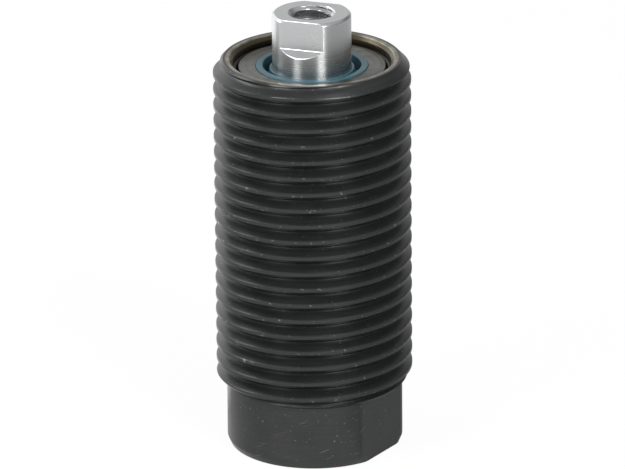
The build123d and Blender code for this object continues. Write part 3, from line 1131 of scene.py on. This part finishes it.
@dataclass
class Gland:
    """What closes the mouth: rod guide, wiper and the wire ring that holds them in, in mm."""

    facets: int = 160
    ring_radius: float = 9.95
    ring_gap: float = 3.0
    ring_middle: float = math.radians(123.0)

    def build_guide(self, material: Material) -> Piece:
        """Makes the rod guide.

        Args:
            material: its finish.

        Returns:
            The guide's object.
        """
        section = [
            (5.05, 34.15, 0.1), (5.65, 33.55, 0.1), (6.2, 33.55, 0.1), (6.2, 44.5, 0.1),
            (9.65, 44.5, 0.05), (9.95, 44.8, 0.05), (9.95, 45.75, 0.05), (8.75, 45.75, 0.1),
            (8.75, 47.65, 0.1), (9.95, 47.65, 0.05), (9.95, 49.25, 0.05), (9.3, 49.25, 0.05),
            (9.3, 50.5, 0.12), (7.1, 50.5, 0.1), (7.1, 48.1, 0.05), (5.05, 48.1, 0.05),
            (5.05, 47.5, 0.05), (6.0, 47.5, 0.05), (6.0, 44.7, 0.05), (5.05, 44.7, 0.05),
        ]
        mesh = join("rod_guide_turned", [lathe(smooth(section), columns(self.facets), closed=True)])
        return finish_piece(mesh, material, "cylinder", "rod_guide")

    def build_wiper(self, material: Material) -> Piece:
        """Makes the wiper.

        Args:
            material: its finish.

        Returns:
            The wiper's object.
        """
        section = [
            (5.23, 48.11, 0.1), (7.09, 48.11, 0.1), (7.09, 50.65, 0.16), (6.24, 50.65, 0.16),
            (5.94, 49.01, 0.15), (5.58, 49.01, 0.12), (5.34, 50.3, 0.1), (5.03, 50.3, 0.08),
            (5.03, 50.0, 0.1),
        ]
        skin = lathe(smooth(section, steps=4), columns(self.facets), closed=True)
        mesh = join("rod_wiper_moulded", [skin])
        slot, node = "wiper_polyurethane", "rod_wiper"
        return finish_piece(mesh, material, "cylinder", node, crease=60.0)

    def build_ring(self, material: Material) -> Piece:
        """Bends the retaining ring.

        Args:
            material: its finish.

        Returns:
            The ring's object.
        """
        gap = self.ring_gap / self.ring_radius
        ring = Coil(
            radius=self.ring_radius,
            wire_radius=0.55,
            turns=1 - gap / (2 * math.pi),
            start=self.ring_middle + gap / 2,
            bottom=49.8,
            floor=49.0,
            ceiling=50.6,
            steps=160,
        )
        mesh = ring.wind("retaining_ring_wire", material)
        slot, node = "ring_spring_steel", "retaining_ring"
        return finish_piece(mesh, material, "cylinder", node, crease=50.0)


@dataclass
class ReturnDrive:
    """The spring that pushes the plunger back. Sizes in mm."""

    radius: float = 7.45
    turns: float = 7.0
    closed_turns: float = 1.0
    ground: float = 0.4
    low: float = 20.51
    high: float = 44.49
    wire_radius: float = 0.75
    stroke: float = 13.0

    def build_spring(self, material: Material) -> Piece:
        """Winds the return spring at one length; the real spring shortens as the plunger comes out.

        Args:
            material: its finish.

        Returns:
            The spring's object.
        """
        closed = 2 * self.wire_radius + 0.05
        wound = self.high - self.low + 2 * self.ground - 2 * self.closed_turns * closed
        active = wound / (self.turns - 2 * self.closed_turns)
        spring = Coil(
            radius=self.radius,
            wire_radius=self.wire_radius,
            turns=self.turns,
            start=0.0,
            bottom=self.low - self.ground,
            floor=self.low,
            ceiling=self.high,
            closed_turns=self.closed_turns,
            closed_pitch=closed,
            active_pitch=active,
        )
        mesh = spring.wind("return_spring_wire", material)
        slot, node = "spring_steel", "return_spring"
        piece = finish_piece(mesh, material, "cylinder", node, crease=50.0)
        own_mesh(piece)
        return piece


def toward(azimuth: float, elevation: float) -> Vector:
    """Gives the unit direction at an azimuth and an elevation, in radians."""
    flat = math.cos(elevation)
    return Vector((math.cos(azimuth) * flat, math.sin(azimuth) * flat, math.sin(elevation)))


@dataclass(frozen=True)
class Surround:
    """How bright the studio looks from the object, by degrees from the camera to its right."""

    camera: float
    peak: float = 1.4
    stops: tuple[Point, ...] = (
        (-180.0, 0.7), (-168.0, 0.7), (-160.0, 1.4), (-127.0, 1.4), (-123.0, 0.7), (-80.0, 0.8),
        (30.0, 0.85), (60.0, 0.3), (140.0, 0.22), (160.0, 0.65), (180.0, 0.7),
    )

    def level(self, tree: Tree, direction: Socket) -> Socket:
        """Reads the brightness in a direction.

        Args:
            tree: the tree of the floor or the sky.
            direction: the direction from the object's axis.

        Returns:
            The brightness, 1 for white.
        """
        near = (math.cos(self.camera), math.sin(self.camera), 0.0)
        right = (-math.sin(self.camera), math.cos(self.camera), 0.0)
        shares = (
            add_node(tree, VECTOR, {0: direction, 1: way}, operation="DOT_PRODUCT").outputs["Value"]
            for way in (right, near)
        )
        angle = add_node(tree, MATH, dict(enumerate(shares)), operation="ARCTAN2")
        share = {0: angle, 1: 1 / (2 * math.pi), 2: 0.5}
        share = add_node(tree, MATH, share, operation="MULTIPLY_ADD")
        ramp = add_node(tree, "ShaderNodeValToRGB", {"Fac": share})
        points = ramp.color_ramp.elements
        points.remove(points[1])
        for i, (degrees, level) in enumerate(self.stops):
            place = degrees / 360 + 0.5
            point = points[0] if i == 0 else points.new(place)
            point.position = place
            point.color = (level / self.peak,) * 3 + (1.0,)
        return add_node(tree, MATH, {0: ramp, 1: self.peak}, operation="MULTIPLY").outputs[0]


@dataclass(frozen=True)
class StudioFloor(Finish):
    """White paper under soft light: white to the camera, as bright as the studio to metal."""

    surround: Surround
    colour: str = "f0f0ee"
    roughness: float = 0.9
    shade: float = 0.06
    glossy_white: float = 0.95
    least: float = 0.55

    def make(self) -> Material:
        """Builds the material.

        Returns:
            The material.
        """
        material, tree, shader = self.blank()
        feed(tree, shader, {"Base Color": linear(self.colour), "Roughness": self.roughness})
        spot = add_node(tree, "ShaderNodeTexCoord").outputs["Object"]
        path = add_node(tree, "ShaderNodeLightPath").outputs
        white = add_node(tree, "ShaderNodeEmission", {"Color": WHITE, "Strength": 1.0})
        level = {0: self.surround.level(tree, spot), 1: self.least}
        level = add_node(tree, MATH, level, operation="MAXIMUM")
        sides = add_node(tree, "ShaderNodeEmission", {"Strength": level})
        seen = {0: path["Is Camera Ray"], 1: path["Is Transmission Ray"]}
        seen = add_node(tree, MATH, seen, operation="MAXIMUM")
        seen = add_node(tree, MATH, {0: seen, 1: 1.0 - self.shade}, operation="MULTIPLY")
        gloss = {0: path["Is Glossy Ray"], 1: self.glossy_white}
        gloss = add_node(tree, MATH, gloss, operation="MULTIPLY")
        mix = add_node(tree, "ShaderNodeMixShader", {0: gloss, 1: shader, 2: sides})
        mix = add_node(tree, "ShaderNodeMixShader", {0: seen, 1: mix, 2: white})
        back = add_node(tree, "ShaderNodeNewGeometry").outputs["Backfacing"]
        clear = add_node(tree, "ShaderNodeBsdfTransparent")
        both = add_node(tree, "ShaderNodeMixShader", {0: back, 1: mix, 2: clear})
        output = next(node for node in tree.nodes if node.type == "OUTPUT_MATERIAL")
        feed(tree, output, {"Surface": both})
        return material


@dataclass(frozen=True)
class Lamp:
    """A soft box on a stand: degrees from the camera to its right, degrees up, metres and watts."""

    name: str
    side: float
    rise: float
    distance: float
    width: float
    height: float
    power: float

    def hang(self, camera: float, aim: Vector) -> None:
        """Hangs the lamp.

        Args:
            camera: the angle of the camera about the bore axis, in radians.
            aim: the point that the lamp faces.
        """
        light = bpy.data.lights.new(self.name, "AREA")
        light.shape = "RECTANGLE"
        light.size, light.size_y = self.width, self.height
        light.energy = self.power
        lamp = bpy.data.objects.new(self.name, light)
        back = toward(camera + math.radians(self.side), math.radians(self.rise))
        lamp.location = aim + back * self.distance
        lamp.rotation_euler = back.to_track_quat("Z", "Y").to_euler()
        bpy.context.scene.collection.objects.link(lamp)


@dataclass
class Studio:
    """Floor, sky, lamps and the camera at the photograph's angle. Lengths in metres.

    The dome is bright up to the first sine of dome_edge and as dark as zenith from the second.
    """

    azimuth: float = math.radians(33.0 - 90.0)
    elevation: float = math.radians(20.25)
    distance: float = 0.951
    target_height: float = 0.030125
    focal_px: float = 7495.2
    centre_px: Point = (313.253, 216.711)
    roll: float = 0.00875
    image_px: Point = (625.0, 469.0)
    zenith: float = 0.5
    dome_edge: Point = (0.53, 0.57)
    floor_half: float = 6.0
    floor_gap: float = 0.00005
    lamps: tuple[Lamp, ...] = (
        Lamp("key", 29.0, 35.0, 0.5, 0.16, 0.30, 1.9),
        Lamp("fill", -46.0, 35.0, 0.5, 0.14, 0.30, 1.2),
        Lamp("rim", -110.0, 35.0, 0.5, 0.14, 0.25, 0.6),
    )

    def build(self) -> None:
        """Sets up the floor, the sky, the lamps and the camera."""
        surround = Surround(self.azimuth)
        self.floor(surround)
        self.sky(surround)
        for lamp in self.lamps:
            lamp.hang(self.azimuth, Vector((0, 0, self.target_height)))
        self.camera()

    def floor(self, surround: Surround) -> None:
        """Lays the white floor.

        Args:
            surround: how bright metal sees it on each side.
        """
        mesh = bpy.data.meshes.new("floor")
        half = self.floor_half
        corners = [(-half, -half, 0), (half, -half, 0), (half, half, 0), (-half, half, 0)]
        mesh.from_pydata(corners, [], [(0, 1, 2, 3)])
        mesh.materials.append(StudioFloor("studio_paper", surround).make())
        floor = bpy.data.objects.new("floor", mesh)
        floor.location.z = -self.floor_gap
        bpy.context.scene.collection.objects.link(floor)

    def sky(self, surround: Surround) -> None:
        """Lights the scene from a dome that is bright low down and darker overhead.

        Args:
            surround: how bright the dome is on each side.
        """
        world = bpy.data.worlds.new("studio")
        bpy.context.scene.world = world
        world.use_nodes = True
        tree = world.node_tree
        tree.nodes.clear()
        aim = add_node(tree, "ShaderNodeTexCoord").outputs["Generated"]
        rise = add_node(tree, "ShaderNodeSeparateXYZ", {0: aim}).outputs["Z"]
        rise = {"Value": rise, "From Min": self.dome_edge[0], "From Max": self.dome_edge[1]}
        rise = add_node(tree, RANGE, rise, interpolation_type="SMOOTHSTEP")
        level = {"Factor": rise, 2: surround.level(tree, aim), 3: self.zenith}
        level = add_node(tree, MIX, level, data_type="FLOAT")
        path = add_node(tree, "ShaderNodeLightPath").outputs
        seen = add_node(tree, MATH, {0: path["Is Camera Ray"], 1: level}, operation="MAXIMUM")
        back = add_node(tree, "ShaderNodeBackground", {"Color": WHITE, "Strength": seen})
        add_node(tree, "ShaderNodeOutputWorld", {"Surface": back})

    def camera(self) -> None:
        """Stands the camera where the photograph was taken from."""
        scene = bpy.context.scene
        data = bpy.data.cameras.new("camera")
        data.sensor_width = 36.0
        data.lens = self.focal_px * data.sensor_width / self.image_px[0]
        data.shift_x = (self.image_px[0] / 2 - self.centre_px[0]) / self.image_px[0]
        data.shift_y = (self.centre_px[1] - self.image_px[1] / 2) / self.image_px[0]
        data.clip_start, data.clip_end = 0.05, 20.0
        camera = bpy.data.objects.new("camera", data)
        back = toward(self.azimuth, self.elevation)
        camera.location = Vector((0, 0, self.target_height)) + back * self.distance
        turn = (-back).to_track_quat("-Z", "Y").to_matrix() @ Matrix.Rotation(-self.roll, 3, "Z")
        camera.rotation_euler = turn.to_euler()
        scene.collection.objects.link(camera)
        scene.camera = camera
        scene.view_settings.view_transform = "Standard"


def main() -> None:
    """Builds the object and its studio."""
    logging.basicConfig(level=logging.INFO, format="%(name)s %(message)s")

    # Black oxide: gun-metal dark with a soft gloss, so each flank shows the light it faces
    skin = {"ring_depth": 0.0003, "anisotropic": 0.3, "metallic": 0.83}
    oxide = BlackOxide("black_oxide_steel", "3a3c3c", "434443", (0.30, 0.38), **skin)
    # Hard steel, ground: near mirror round the rod, drawn out along it, even on the milled flats
    skin = {"ring_depth": 0.00005, "anisotropic": 0.97, "milled": 4.985}
    ground = TurnedMetal("ground_hard_steel", "c8cacb", "cfd0d1", (0.24, 0.28), **skin)
    # Free-cutting steel, turned: a dark grey, well below bare steel, with rings that catch the
    # light
    skin = {"blotch": 1.5, "ring_width": 0.3, "ring_depth": 0.004}
    turned = TurnedMetal("turned_steel", "565753", "82837d", (0.36, 0.46), **skin)
    # Spring wire, drawn: smooth, with an oil-dark skin; the retaining ring's wire is painted nearly
    # black, the shade of the groove it sits in
    skin = {"ring_width": 0.5, "anisotropic": 0.0}
    drawn = TurnedMetal("oil_tempered_wire", "6d6c69", "82807b", (0.3, 0.42), **skin)
    # Retaining ring: its near-black colour is painted shade of the groove it sits in
    skin = {"ring_width": 0.4, "anisotropic": 0.0}
    painted_shade_ring_wire = TurnedMetal("ring_wire_painted_shade", "2b2a28", "383633", (0.36, 0.48), **skin)
    # Sintered bronze: small fused beads, brown between them
    bronze = Grained("sintered_bronze", "8c6a3c", "b98f55", (0.38, 0.55), 0.12, 0.02, metallic=1.0)
    # Polyurethane: waxy, with a broad soft highlight; the seal is the darker blend
    wiper = Grained("wiper_polyurethane", "27474f", "355b66", (0.30, 0.42), 0.15, 0.001)
    seal = Grained("seal_polyurethane", "1c3f63", "2a5078", (0.30, 0.42), 0.15, 0.001)
    # Nitrile rubber: matt black, slightly bloomed
    nitrile = Grained("nitrile_rubber", "141414", "1f1f1e", (0.5, 0.65), 0.1, 0.001, ior=1.52)
    # Filled bearing plastic: brown, speckled by its filler
    skin = {"blotch": 0.4}
    filled = Grained("filled_bearing_plastic", "6a5334", "83694a", (0.45, 0.6), 0.08, 0.001, **skin)

    body = CylinderBody()
    body.build(oxide.make())
    body.build_filter(bronze.make())
    Plunger().build(ground.make())
    gland = Gland()
    gland.build_guide(turned.make())
    gland.build_wiper(wiper.make())
    gland.build_ring(painted_shade_ring_wire.make())
    ReturnDrive().build_spring(drawn.make())
    rubber, plastic = nitrile.make(), filled.make()
    dress("piston_seal_cup", seal.make())
    dress("seal_energiser_ring", rubber)
    dress("guide_oring", rubber)
    dress("seal_backup_ring", plastic)
    dress("piston_wear_ring", plastic)
    dress("rod_bearing_ring", plastic)
    Studio().build()


if __name__ == "__main__":
    main()
